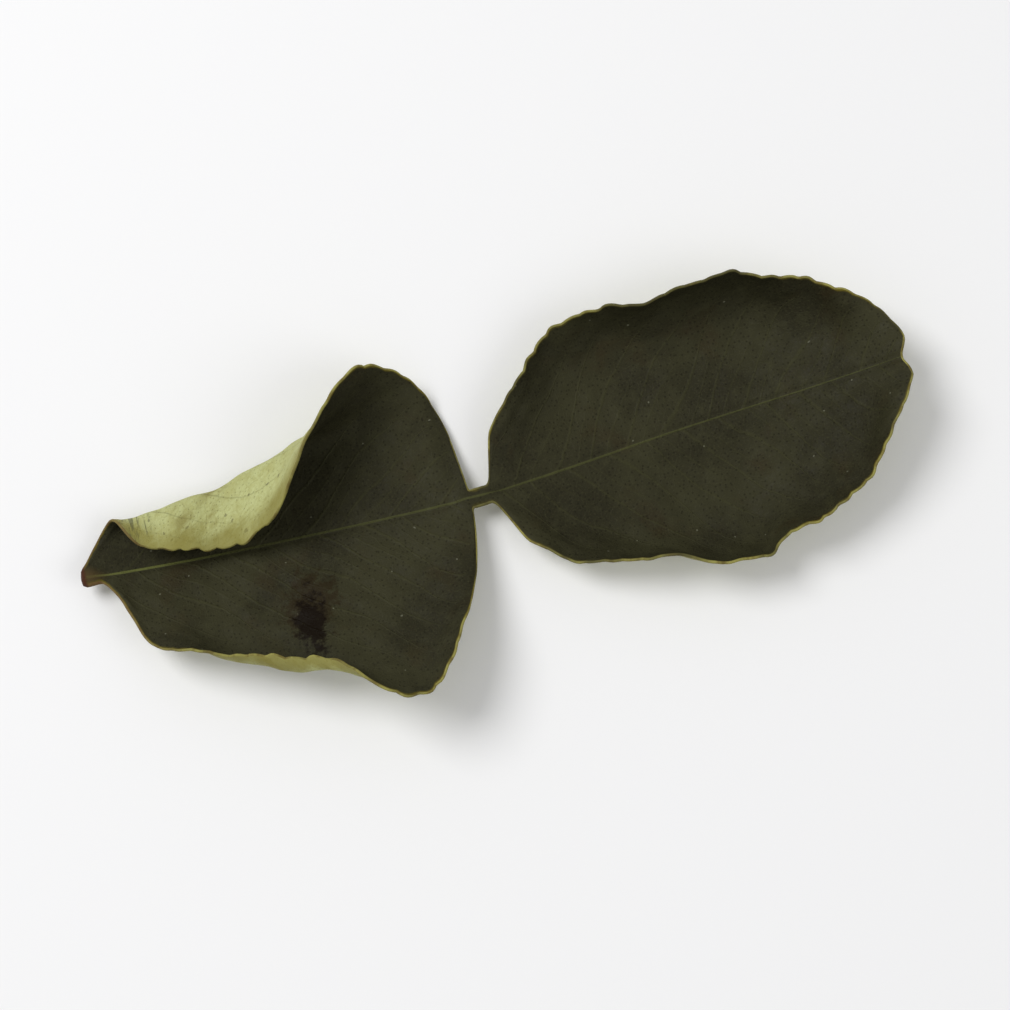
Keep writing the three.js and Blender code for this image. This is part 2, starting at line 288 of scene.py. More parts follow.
def edge_reach(places, side):
    """How far the teeth stand out or nicks draw in, and the outline's outward direction."""
    widening = half_width(places + OUTLINE_SPAN) - half_width(places - OUTLINE_SPAN)
    length = np.hypot(2 * OUTLINE_SPAN, widening)
    outwards = 2 * OUTLINE_SPAN / length
    phase = np.linspace(0, TEETH, len(places)) + (TOOTH_STAGGER if side > 0 else 0)
    toothed = hump(places, *WING_TOOTHED) + smooth(places, *BLADE_TOOTHED)
    variety = 1 + TOOTH_VARIETY * np.sin(TOOTH_VARIETY_RATE * phase)
    size = TOOTH_DEPTH * toothed * outwards ** 2 * variety
    reach = size * np.abs(np.sin(np.pi * phase))
    for at, on_side, depth, half in NICKS:
        if on_side == side:
            reach = reach - depth * (1 - smooth(np.abs(places - at), 0, half))
    return reach, outwards, -widening / length


# Form of the dried leaf

def spine_angle(place, first, *changes):
    """An angle of the spine in radians, from its first value and smooth changes in degrees."""
    angle = first
    for change, start, end in changes:
        angle = angle + change * smooth(place, start, end)
    return np.radians(angle)


def spine(places):
    """Points of the midrib at the places, and the directions along, across and up from it."""
    fine = np.arange(0, LEAF_LENGTH + SPINE_STEP, SPINE_STEP)
    slope, turn, lean = [spine_angle(fine, *angle) for angle in (SLOPE, TURN, LEAN)]
    along = np.stack([np.cos(slope) * np.cos(turn), np.cos(slope) * np.sin(turn), np.sin(slope)], 1)
    level = np.stack([-np.sin(turn), np.cos(turn), 0 * turn], 1)
    upright = np.cross(along, level)
    lean = lean[:, None]
    across = level * np.cos(lean) + upright * np.sin(lean)
    up = upright * np.cos(lean) - level * np.sin(lean)
    point = np.concatenate([[[0, 0, 0]], np.cumsum(along[:-1] * SPINE_STEP, 0)])

    def at(values):
        return np.stack([np.interp(places, fine, values[:, k]) for k in range(3)], 1)

    return at(point), unit(at(along)), unit(at(across)), unit(at(up))


def roll_angle(place, least, more, places):
    return least + more * hump(place, *places)


def margin_roll(place, side, width):
    """The roll's angle in degrees, how far out it starts, and the breadth of its strip."""
    blade = on_blade(place)
    if side > 0:
        angle = lerp(roll_angle(place, **FOLD), roll_angle(place, **FAR_BLADE_ROLL), blade)
        start = lerp(FOLD_START + FOLD_SLANT * place, width - FAR_BLADE_STRIP, blade)
        return angle, start, lerp(FOLD_STRIP, FAR_BLADE_STRIP, blade)
    angle = lerp(roll_angle(place, **CURL), roll_angle(place, **NEAR_BLADE_ROLL), blade)
    tightened = CURL_STRIP - CURL_TIGHTENING * hump(place, *CURL["places"])
    strip = lerp(tightened, NEAR_BLADE_STRIP, blade)
    return angle, width - strip, strip


def cross_slope(place, side, distance, width):
    """How steeply the cross-section rises at a distance from the midrib, in radians."""
    blade = on_blade(place)
    opening = lerp(WING_OPENING[side], BLADE_OPENING, blade)
    dish = lerp(WING_DISH, BLADE_DISH, blade)
    angle, start, strip = margin_roll(place, side, width)
    rolled = smooth(distance, start, start + strip)
    rise = opening * smooth(distance, *OPENING_DISTANCES) + dish * distance + angle * rolled
    opened = hump(place, *WING_OPEN) + hump(place, *BLADE_OPEN)
    return np.radians(rise * opened)


def wave(place, side, share):
    """Height of the lamina's waves, which grow towards the margin."""
    waves = [height * np.sin(2 * np.pi * place / length + phase * side)
             for height, length, phase in WAVES]
    return share ** WAVE_FALLOFF * sum(waves)


def column_distances(width, rib_columns, lamina_columns):
    """Distances of the grid's columns from the midrib: those of the rib, then of the lamina."""
    rib = np.minimum(RIB_HALF, RIB_LARGEST_SHARE * width)
    inner = rib * np.array(rib_columns)
    outer = lerp(rib, width, np.array(lamina_columns))
    return np.hstack([inner, outer])


def half_rows(places, frames, side, rib_columns, lamina_columns, tooth_falloff):
    """The underside's points on one side of the midrib, rows by columns, and their distances."""
    point, along, across, up = [part[:, None] for part in frames]
    place = places[:, None]
    width = side_width(place, side)
    distances = column_distances(width, rib_columns, lamina_columns)
    fine = np.linspace(0, 1, SECTION_STEPS + 1) * width
    middle = (fine[:, 1:] + fine[:, :-1]) / 2
    slope = cross_slope(place, side, middle, width)
    step = width / SECTION_STEPS
    start = np.zeros((len(places), 1))
    out = np.hstack([start, np.cumsum(step * np.cos(slope), 1)])
    rise = np.hstack([start, np.cumsum(step * np.sin(slope), 1)])

    def at(values):
        return np.stack([np.interp(d, f, v) for d, f, v in zip(distances, fine, values)])

    slope = cross_slope(place, side, distances, width)
    share = distances / width
    room = np.minimum(1, width / WAVE_FULL_WIDTH) * (1 - hump(place, *CALM_PLACES))
    lift = wave(place, side, share) * room
    reach, outwards, forwards = [part[:, None] for part in edge_reach(places, side)]
    reach = reach * share ** tooth_falloff
    x = at(out) - lift * np.sin(slope) + reach * outwards * np.cos(slope)
    z = at(rise) + lift * np.cos(slope) + reach * outwards * np.sin(slope)
    ahead = reach * forwards - tip_notch(place, distances)
    points = (point + along * ahead[..., None]
              + across * (side * x)[..., None] + up * z[..., None])
    return points, distances


def underside(rows, rib_columns, lamina_columns, tooth_falloff):
    """Grid of the underside's points from side -1 to side 1, with place and signed distance."""
    places = row_places(rows)
    frames = spine(places)
    facets = rib_columns, lamina_columns, tooth_falloff
    near, near_out = half_rows(places, frames, -1, *facets)
    far, far_out = half_rows(places, frames, 1, *facets)
    middle = frames[0] - frames[1] * tip_notch(places, 0)[:, None]
    points = np.concatenate([near[:, ::-1], middle[:, None], far], 1)
    across = np.hstack([-near_out[:, ::-1], np.zeros((rows, 1)), far_out])
    return places[:, None] + 0 * across, across, points


def normals(points):
    return unit(np.cross(np.gradient(points, axis=0), np.gradient(points, axis=1)))


def section_normals(place, points):
    """Normals of the cross-sections, for rows whose margin runs straight across the leaf."""
    along = spine(place[:, 0])[1]
    return unit(np.cross(along[:, None], np.gradient(points, axis=1)))


def rib_profile(across):
    """1 on the midrib's line, falling to 0 at its edges."""
    share = np.minimum(1, np.abs(across) / RIB_HALF)
    return (1 - share ** 2) ** 2


def rib_below(place, across):
    """Height of the midrib's ridge on the underside, which weakens along the blade."""
    fade = 1 - RIB_FADING * smooth(place, BLADE_PLACE, LEAF_LENGTH)
    return RIB_DEPTH * fade * rib_profile(across)


def bareness(place):
    """1 along the stalk and the joint, where the midrib is bare, and 0 on the lobes."""
    return 1 - hump(place, *WING_COVERED) - smooth(place, *BLADE_COVERED)


def rib_above(place, across, groove):
    """Height of the midrib on the upper face, below 0 in its groove."""
    return lerp(groove, STALK_CROWN, bareness(place)) * rib_profile(across)


def lie():
    """The turn and shift that lay the leaf on its three low points, as the solid lies."""
    place, across, points = underside(**SOLID_FACETS)
    outward = normals(points)
    lower = points - outward * rib_below(place, across)[..., None]
    above = SOLID_THICKNESS + rib_above(place, across, SOLID_GROOVE)
    upper = points + outward * above[..., None]
    side = np.where(np.abs(across) > RIB_HALF + TINY, np.sign(across), 0)
    turn = Matrix.Identity(3)
    for _ in range(LEVELLING_ROUNDS):
        turned = lower @ np.array(turn).T
        low = []
        for on_side, start, end in LOW_POINTS:
            spots = turned[(side == on_side) & (place > start) & (place < end)]
            low.append(Vector(spots[spots[:, 2].argmin()]))
        normal = (low[1] - low[0]).cross(low[2] - low[0]).normalized()
        turn = normal.rotation_difference(Vector((0, 0, 1))).to_matrix() @ turn
    middle = lower.shape[1] // 2
    line = turn @ Vector(lower[-1, middle] - lower[0, middle])
    turn = Matrix.Rotation(-math.atan2(line.y, line.x), 3, "Z") @ turn
    turn = np.array(turn)
    every = np.concatenate([lower, upper]).reshape(-1, 3) @ turn.T
    low, high = every.min(0), every.max(0)
    shift = np.array([-(low[0] + high[0]) / 2, -(low[1] + high[1]) / 2, -low[2] - PRESSED_FLAT])
    return turn, shift


# The fine leaf

def lobe_course(place, side, out, share, swing, foot, slant, hook, spacing, stagger, first):
    """Counts one lobe's side veins."""
    run = place - foot - slant * out - hook * share ** 5 + swing
    return run / spacing + stagger * side + first


def vein_course(place, across):
    """Counts the side veins from each lobe's foot. A vein runs where this is a whole number."""
    side = np.where(across < 0, -1, 1)
    out = np.abs(across)
    share = out / margin_distance(place, across)
    swing = sum(size * np.sin(along * place + outwards * out + phase * side)
                for size, along, outwards, phase in VEIN_SWINGS)
    wing = lobe_course(place, side, out, share, swing, **WING_VEINS)
    blade = lobe_course(place, side, out, share, swing, **BLADE_VEINS)
    return lerp(wing, blade, on_blade(place))


def ripples(place, across):
    """Fine uneven puckering of the dried lamina, from seeded waves."""
    rng = np.random.default_rng(RIPPLE_SEED)
    total = 0
    for _ in range(RIPPLE_WAVES):
        length = rng.uniform(*RIPPLE_LENGTHS)
        heading = rng.uniform(0, math.pi)
        phase = rng.uniform(0, 2 * math.pi)
        run = place * math.cos(heading) + across * math.sin(heading)
        total = total + length * np.sin(2 * math.pi * run / length + phase)
    return total / RIPPLE_SCALE


def leaf_grids():
    """Points of the lower and upper faces, in mm, and the values that the materials read."""
    place, across, points = underside(**FINE_FACETS)
    straight = hump(place, *STRAIGHT_PLACES)[..., None]
    outward = unit(lerp(normals(points), section_normals(place, points), straight))
    out = np.abs(across)
    width = margin_distance(place, across)
    share = np.minimum(1, out / width)
    bare = bareness(place) * (1 - smooth(out, *BARE_EDGES))
    lamina = smooth(out, *LAMINA_DISTANCES) * (1 - bareness(place))
    course = vein_course(place, across)
    quilted = lamina * (1 - smooth(share, *QUILT_END_SHARES))
    quilt = -QUILT_DEPTH * np.cos(2 * np.pi * course) * quilted
    pucker = PUCKER_HEIGHT * ripples(place, across) * lamina * (1 + share) / 2
    relief = quilt + pucker
    thin = 1 - MARGIN_THINNING * smooth(share, *MARGIN_SHARES) * (1 - bare)
    thickness = lerp(LAMINA_THICKNESS, STALK_THICKNESS, bare) * thin
    ridge = RIDGE_HEIGHT * np.exp(-(out / RIDGE_HALF) ** 2) * (1 - bare)
    lower = points + outward * (relief - rib_below(place, across))[..., None]
    above = relief + thickness + ridge + rib_above(place, across, GROOVE)
    upper = points + outward * above[..., None]
    values = dict(place=place, across=across, share=share, edge=(1 - share) * width, course=course)
    return lower, upper, values


def perimeter(rows, columns):
    """Indices of the grid's outer points, in one loop seen from above, anticlockwise."""
    low = [(0, c) for c in range(columns - 1, 0, -1)]
    near = [(r, 0) for r in range(rows - 1)]
    high = [(rows - 1, c) for c in range(columns - 1)]
    far = [(r, columns - 1) for r in range(rows - 1, 0, -1)]
    loop = np.array(low + near + high + far)
    return loop[:, 0], loop[:, 1]


def rim_points(low, high, at_scar):
    """Rings of points that round the rim off between the two faces' outer points."""
    middle = (low + high) / 2
    standing = (high - low) / 2
    height = np.linalg.norm(standing, axis=1, keepdims=True)
    axis = standing / height
    ahead = np.roll(middle, -RIM_NEIGHBOURS, 0) - np.roll(middle, RIM_NEIGHBOURS, 0)
    outward = unit(np.cross(ahead, axis))
    rounding = np.where(at_scar, SCAR_ROUNDING, RIM_ROUNDING)[:, None]
    rings = []
    for step in range(1, RIM_STEPS):
        angle = math.pi * (step / RIM_STEPS - 0.5)
        standing_out = outward * rounding * math.cos(angle)
        rings.append(middle + height * (axis * math.sin(angle) + standing_out))
    return rings


def unwrap(mesh, values, rim):
    """Gives every face its own place in the map."""
    along = MAP_START + MAP_LENGTH * values["place"].ravel() / LEAF_LENGTH
    aside = MAP_HALF * values["across"].ravel() / WIDEST_HALF
    rows, columns = values["place"].shape
    count = rows * columns
    faces = (rows - 1) * (columns - 1)
    corner = np.empty(len(mesh.loops), np.int32)
    mesh.loops.foreach_get("vertex_index", corner)
    over, under = corner[:4 * faces] - count, corner[4 * faces:8 * faces]
    around = len(rim) // RIM_STEPS
    strip = math.ceil(around / MAP_RIM_STRIPS)
    place = np.tile(np.arange(around), RIM_STEPS)[:, None]
    ring = np.repeat(np.arange(RIM_STEPS), around)[:, None]
    rim_u = MAP_START + MAP_LENGTH * (place % strip + [0, 1, 1, 0]) / strip
    rim_v = (MAP_RIM_START + MAP_RIM_SPACING * (place // strip)
             + MAP_RIM_BREADTH * (ring + [0, 0, 1, 1]) / RIM_STEPS)
    u = np.concatenate([along[over], along[under], rim_u.ravel()])
    v = np.concatenate([MAP_UPPER + aside[over], MAP_UNDER - aside[under], rim_v.ravel()])
    layer = mesh.uv_layers.new(name="OFBake")
    layer.data.foreach_set("uv", np.stack([u, v], 1).ravel().astype(np.float32))


def leaf_mesh():
    """The leaf in metres, laid on the floor: both faces, the rim, the map and the values."""
    lower, upper, values = leaf_grids()
    rows, columns = lower.shape[:2]
    count = rows * columns
    row, column = perimeter(rows, columns)
    edge = row * columns + column
    at_scar = values["place"][row, column] < SCAR_END
    rings = rim_points(lower[row, column], upper[row, column], at_scar)
    points = np.concatenate([lower.reshape(-1, 3), upper.reshape(-1, 3), *rings])

    grid_row, grid_column = np.meshgrid(np.arange(rows - 1), np.arange(columns - 1), indexing="ij")
    first = (grid_row * columns + grid_column).ravel()
    under = np.stack([first, first + 1, first + columns + 1, first + columns], 1)
    over = under[:, ::-1] + count
    loops = [edge]
    for step in range(RIM_STEPS - 1):
        loops.append(2 * count + step * len(edge) + np.arange(len(edge)))
    loops.append(edge + count)
    strips = []
    for below, above in zip(loops, loops[1:]):
        strips.append(np.stack([below, np.roll(below, -1), np.roll(above, -1), above], 1))
    rim = np.concatenate(strips)

    turn, shift = lie()
    placed = points @ turn.T + shift
    placed[:, 2] = np.maximum(0, placed[:, 2])
    mesh = bpy.data.meshes.new("makrut_lime_leaf")
    faces = np.concatenate([over, under, rim])
    mesh.from_pydata((placed / MM_PER_M).tolist(), [], faces.tolist())
    materials = np.repeat([0, 1, 2], [len(over), len(under), len(rim)])
    mesh.polygons.foreach_set("material_index", materials.astype(np.int32))
    mesh.polygons.foreach_set("use_smooth", np.ones(len(faces), bool))
    unwrap(mesh, values, rim)
    for name, grid in values.items():
        flat = grid.ravel()
        full = np.concatenate([flat, flat, *[flat[edge]] * (RIM_STEPS - 1)])
        attribute = mesh.attributes.new(name, "FLOAT", "POINT")
        attribute.data.foreach_set("value", full.astype(np.float32))
    mesh.update()
    mesh.validate()
    return mesh


# Materials. Sizes, distances and depths are in mm, and colours are linear. A net is that of the
# small veins, and the fine one that of the smallest

FACE_DARK = (0.0203, 0.0188, 0.0094)
FACE_LIGHT = (0.0325, 0.031, 0.0145)
FACE_MOTTLE = (0.04, 0.0388, 0.0182)
FACE_BROWN = (0.0275, 0.0195, 0.0078)
FACE_FLECK = (0.0465, 0.0448, 0.0205)
FACE_FINE_NET = (0.052, 0.051, 0.022)
FACE_NET = (0.052, 0.051, 0.021)
FACE_VEIN = (0.06, 0.061, 0.021)
FACE_MIDRIB = (0.115, 0.125, 0.034)
FACE_MARGIN = (0.138, 0.11, 0.012)
FACE_FOOT = (0.075, 0.05, 0.019)
OIL_GLAND = (0.009, 0.008, 0.0035)
PALE_SPECK = (0.2, 0.2, 0.14)
HALO = (0.0195, 0.0128, 0.0042)
BLOTCH = (0.0052, 0.0026, 0.0006)

UNDER_DARK = (0.41, 0.425, 0.185)
UNDER_LIGHT = (0.46, 0.485, 0.22)
UNDER_MOTTLE = (0.345, 0.335, 0.112)
UNDER_BROWN = (0.215, 0.19, 0.05)
UNDER_STREAK = (0.32, 0.315, 0.1)
UNDER_FINE_NET = (0.28, 0.27, 0.085)
UNDER_NET = (0.25, 0.235, 0.075)
UNDER_VEIN = (0.24, 0.22, 0.065)
UNDER_MIDRIB = (0.38, 0.345, 0.125)
UNDER_MARGIN = (0.2, 0.175, 0.03)
UNDER_FOOT = (0.15, 0.1, 0.035)
UNDER_SPECK = (0.12, 0.105, 0.03)
UNDER_MARK = (0.06, 0.05, 0.02)
# Painted shade: the dark streaks in the creases near the fold's start
PAINTED_CREASE_SHADE = (0.055, 0.056, 0.024)

RIM_LIGHT = (0.27, 0.25, 0.065)
RIM_DARK = (0.14, 0.11, 0.025)
RIM_STAIN = (0.05, 0.046, 0.016)
RIM_FOOT = (0.1, 0.042, 0.016)
SCAR = (0.06, 0.022, 0.011)

# Side veins: half widths at the midrib and the margin in spacings, and how far off the joint they
# begin. Their wobble is in spacings too, and the nets' lines are as broad as that share of a cell
VEIN_HALVES = (0.05, 0.018)
VEIN_GAP = (0.2, 1.2)
WOBBLE_SIZE = 2.4
WOBBLE = 0.16
NET_WARP = dict(size=1.6, amount=0.9)
NET = dict(size=1.5, line=0.07)
FINE_NET = dict(size=0.6, line=0.12)
MIDRIB_LINE_HALF = 0.15

# Where the margin's colour changes from the wing's to the blade's
PAST_SHOULDER = (34, 46)


class Tree:
    """Short ways to build a material's nodes."""

    # Where the Mix node has the factor, the two colours and the result
    FACTOR, COLOUR_A, COLOUR_B, RESULT = 0, 6, 7, 2

    def __init__(self, name):
        self.material = bpy.data.materials.new(name)
        self.material.use_nodes = True
        self.nodes = self.material.node_tree.nodes
        self.links = self.material.node_tree.links
        self.shader = self.nodes["Principled BSDF"]

    def node(self, kind, inputs, **settings):
        made = self.nodes.new(kind)
        for key, value in settings.items():
            setattr(made, key, value)
        for key, value in inputs.items():
            self.feed(made.inputs[key], value)
        return made

    def feed(self, socket, value):
        if isinstance(value, bpy.types.NodeSocket):
            self.links.new(value, socket)
        elif isinstance(value, tuple) and len(value) == 3 and socket.type == "RGBA":
            socket.default_value = (*value, 1)
        else:
            socket.default_value = value

    def value(self, name):
        """A value that the mesh carries at its points."""
        return self.node("ShaderNodeAttribute", {}, attribute_name=name).outputs["Fac"]

    def math(self, operation, a, b=0.0):
        return self.node("ShaderNodeMath", {0: a, 1: b}, operation=operation).outputs[0]

    def plus(self, value, other, times):
        return self.math("ADD", value, self.math("MULTIPLY", other, times))

    def step(self, value, start, end, low=0.0, high=1.0):
        """Low up to the start, and high from the end on."""
        inputs = {"Value": value, "From Min": start, "From Max": end, "To Min": low, "To Max": high}
        return self.node("ShaderNodeMapRange", inputs, interpolation_type="SMOOTHSTEP").outputs[0]

    def fade(self, value, start, end, high=1.0, low=0.0):
        """High up to the start, and low from the end on."""
        return self.step(value, start, end, high, low)

    def mix(self, factor, a, b):
        made = self.node("ShaderNodeMix", {}, data_type="RGBA")
        self.feed(made.inputs[self.FACTOR], factor)
        self.feed(made.inputs[self.COLOUR_A], a)
        self.feed(made.inputs[self.COLOUR_B], b)
        return made.outputs[self.RESULT]

    def tint(self, colour, mask, shade, strength=None):
        """The colour turned to the shade where the mask is 1, by the strength at most."""
        if strength is not None:
            mask = self.math("MULTIPLY", mask, strength)
        return self.mix(mask, colour, shade)

    def noise(self, vector, size, detail=3.0, roughness=0.55):
        """Noise about 0.5, with features of that size."""
        inputs = {"Vector": vector, "Scale": 1 / size, "Detail": detail, "Roughness": roughness}
        return self.node("ShaderNodeTexNoise", inputs).outputs["Fac"]

    def swing(self, vector, size, detail=3.0, roughness=0.55):
        """Noise about 0."""
        return self.math("SUBTRACT", self.noise(vector, size, detail, roughness), 0.5)

    def cloud(self, vector, size, levels, least=0.0, most=1.0, detail=3.0, roughness=0.55):
        """Noise stretched between two of its levels, from the least to the most."""
        return self.step(self.noise(vector, size, detail, roughness), *levels, least, most)

    def cells(self, vector, size, feature):
        inputs = {"Vector": vector, "Scale": 1 / size}
        return self.node("ShaderNodeTexVoronoi", inputs, voronoi_dimensions="2D", feature=feature)

    def net(self, vector, size, line):
        """Cells' edges, each as broad as that share of the cells' size."""
        edges = self.cells(vector, size, "DISTANCE_TO_EDGE")
        return self.fade(edges.outputs["Distance"], 0.0, line)

    def dots(self, vector, size, radius, chance):
        """Small round spots, at random in some of the cells."""
        cell = self.cells(vector, size, "F1")
        spot = self.fade(cell.outputs["Distance"], radius * 0.5, radius)
        pick = self.node("ShaderNodeSeparateColor", {"Color": cell.outputs["Color"]}).outputs[0]
        return self.math("MULTIPLY", spot, self.math("LESS_THAN", pick, chance))

    def sheet(self):
        """The point's position on the flattened leaf."""
        inputs = {"X": self.value("place"), "Y": self.value("across"), "Z": 0.0}
        return self.node("ShaderNodeCombineXYZ", inputs).outputs[0]

    def warped(self, vector, size, amount):
        """The position moved about a little, so that lines drawn from it aren't straight."""
        inputs = {"Vector": vector, "Scale": 1 / size, "Detail": 2.0}
        wobble = self.node("ShaderNodeTexNoise", inputs).outputs["Color"]
        offset = self.node("ShaderNodeVectorMath", {0: wobble, 1: (0.5, 0.5, 0.5)},
                           operation="SUBTRACT").outputs[0]
        scaled = self.node("ShaderNodeVectorMath", {0: offset, "Scale": amount},
                           operation="SCALE").outputs[0]
        return self.node("ShaderNodeVectorMath", {0: vector, 1: scaled}, operation="ADD").outputs[0]

    def relief(self, *layers):
        """Bumps laid over each other, each a height and its depth."""
        normal = None
        for height, depth in layers:
            inputs = {"Height": height, "Distance": depth / MM_PER_M, "Strength": 1.0}
            if normal is not None:
                inputs["Normal"] = normal
            normal = self.node("ShaderNodeBump", inputs).outputs[0]
        return normal

    def finished(self, colour, roughness, normal, specular):
        """Feeds the shader and gives the material."""
        self.feed(self.shader.inputs["Base Color"], colour)
        self.feed(self.shader.inputs["Roughness"], roughness)
        self.feed(self.shader.inputs["Normal"], normal)
        self.shader.inputs["Specular IOR Level"].default_value = specular
        return self.material


def leaf_face(tree):
    """What both faces draw on: the position, the side veins and the nets between, 1 on a line."""
    sheet = tree.sheet()
    out = tree.math("ABSOLUTE", tree.value("across"))
    place = tree.value("place")
    share = tree.value("share")

    course = tree.plus(tree.value("course"), tree.swing(sheet, WOBBLE_SIZE), WOBBLE)
    half = tree.step(share, 0.0, 1.0, *VEIN_HALVES)
    away = tree.math("DIVIDE", tree.math("PINGPONG", course, 0.5), half)
    weaker = tree.fade(share, 0.55, 0.97, low=0.15)
    veins = tree.math("MULTIPLY", tree.fade(away, 0.3, 1.3), weaker)
    halfway = tree.math("PINGPONG", tree.math("ADD", course, 0.5), 0.5)
    between = tree.fade(tree.math("DIVIDE", halfway, half), 0.2, 0.9)
    short = tree.math("MULTIPLY", between, tree.fade(share, 0.2, 0.55, high=0.55))
    veins = tree.math("MAXIMUM", veins, short)
    near, far = VEIN_GAP
    on_wing = tree.fade(place, JOINT_PLACE - far, JOINT_PLACE - near)
    beyond_joint = tree.step(place, BLADE_PLACE + near, BLADE_PLACE + far)
    veins = tree.math("MULTIPLY", veins, tree.math("MAXIMUM", on_wing, beyond_joint))

    warped = tree.warped(sheet, **NET_WARP)
    lamina = tree.step(tree.value("edge"), 0.0, 0.8)
    net = tree.math("MULTIPLY", tree.net(warped, **NET), lamina)
    fine_net = tree.math("MULTIPLY", tree.net(warped, **FINE_NET), lamina)
    return SimpleNamespace(sheet=sheet, out=out, place=place, veins=veins, net=net,
                           fine_net=fine_net)


def midrib_line(tree, face):
    """1 on the thin line of the midrib on the upper face, which tapers along the blade."""
    taper = tree.fade(face.place, BLADE_PLACE, LEAF_LENGTH, low=0.5)
    half = tree.math("MULTIPLY", taper, MIDRIB_LINE_HALF)
    return tree.fade(tree.math("DIVIDE", face.out, half), 0.45, 1.25)


def patch(tree, face, place, across, length, breadth, raggedness):
    """An irregular patch round a spot of the leaf: a real stain, or painted shade in a crease."""
    along = tree.math("DIVIDE", tree.math("SUBTRACT", face.place, place), length)
    aside = tree.math("DIVIDE", tree.math("SUBTRACT", tree.value("across"), across), breadth)
    far = tree.math("SQRT", tree.math("ADD", tree.math("MULTIPLY", along, along),
                                      tree.math("MULTIPLY", aside, aside)))
    ragged = tree.swing(face.sheet, 1.5, detail=5.0, roughness=0.7)
    return tree.fade(tree.plus(far, ragged, raggedness), 0.6, 1.15)


def upper_material():
    """The dull dark olive face, with its veins, oil glands, blotch and yellowed margin."""
    tree = Tree("leaf_upper_face")
    face = leaf_face(tree)
    sheet = face.sheet
    broad = tree.cloud(sheet, 11, levels=(0.36, 0.66))
    colour = tree.mix(broad, FACE_DARK, FACE_LIGHT)
    mottled = tree.cloud(sheet, 2.2, levels=(0.45, 0.75), most=0.55, detail=4.0, roughness=0.65)
    colour = tree.tint(colour, mottled, FACE_MOTTLE)
    browned = tree.cloud(tree.warped(sheet, size=6, amount=3.0), 7, levels=(0.54, 0.74), most=0.6,
                         detail=4.0, roughness=0.6)
    colour = tree.tint(colour, browned, FACE_BROWN)
    flecks = tree.cloud(sheet, 0.22, levels=(0.5, 0.72), most=0.5, detail=2.0, roughness=0.6)
    colour = tree.tint(colour, flecks, FACE_FLECK)
    colour = tree.tint(colour, face.fine_net, FACE_FINE_NET, strength=0.1)
    colour = tree.tint(colour, face.net, FACE_NET, strength=0.1)
    colour = tree.tint(colour, face.veins, FACE_VEIN, strength=0.17)
    glands = tree.dots(sheet, 0.62, radius=0.22, chance=0.6)
    colour = tree.tint(colour, glands, OIL_GLAND, strength=0.5)
    pale = tree.dots(tree.warped(sheet, size=4, amount=2.0), 3.6, radius=0.035, chance=0.22)
    colour = tree.tint(colour, pale, PALE_SPECK, strength=0.45)
    halo = patch(tree, face, place=23.7, across=-8.2, length=3.1, breadth=3.8, raggedness=3.4)
    colour = tree.tint(colour, halo, HALO, strength=0.75)
    blotch = patch(tree, face, place=23.5, across=-10.5, length=1.7, breadth=4.2, raggedness=3.2)
    colour = tree.tint(colour, blotch, BLOTCH, strength=0.95)
    fading = tree.fade(face.place, 6, 22, high=0.85, low=0.28)
    colour = tree.tint(colour, midrib_line(tree, face), FACE_MIDRIB, strength=fading)
    edge = tree.plus(tree.value("edge"), tree.noise(sheet, 0.9), 0.5)
    least = tree.fade(face.place, *PAST_SHOULDER, high=0.6, low=0.12)
    yellowed = tree.cloud(sheet, 7, levels=(0.4, 0.62), least=least, most=0.85, roughness=0.6)
    colour = tree.tint(colour, tree.fade(edge, 0.24, 0.56), FACE_MARGIN, strength=yellowed)
    foot = tree.fade(tree.plus(face.place, face.out, 1.5), 0.8, 3.6)
    colour = tree.tint(colour, foot, FACE_FOOT, strength=0.8)
    colour = tree.tint(colour, tree.fade(face.place, 0.1, 0.5), SCAR)

    rough = tree.cloud(sheet, 1.4, levels=(0.3, 0.7), least=0.46, most=0.64, detail=4.0)
    rough = tree.plus(rough, face.fine_net, 0.08)
    grain = tree.noise(sheet, 0.16, roughness=0.6)
    normal = tree.relief((grain, 0.02), (face.fine_net, 0.01), (face.net, 0.014),
                         (face.veins, 0.035), (glands, -0.015), (tree.noise(sheet, 1.1), 0.07))
    return tree.finished(colour, rough, normal, specular=0.07)


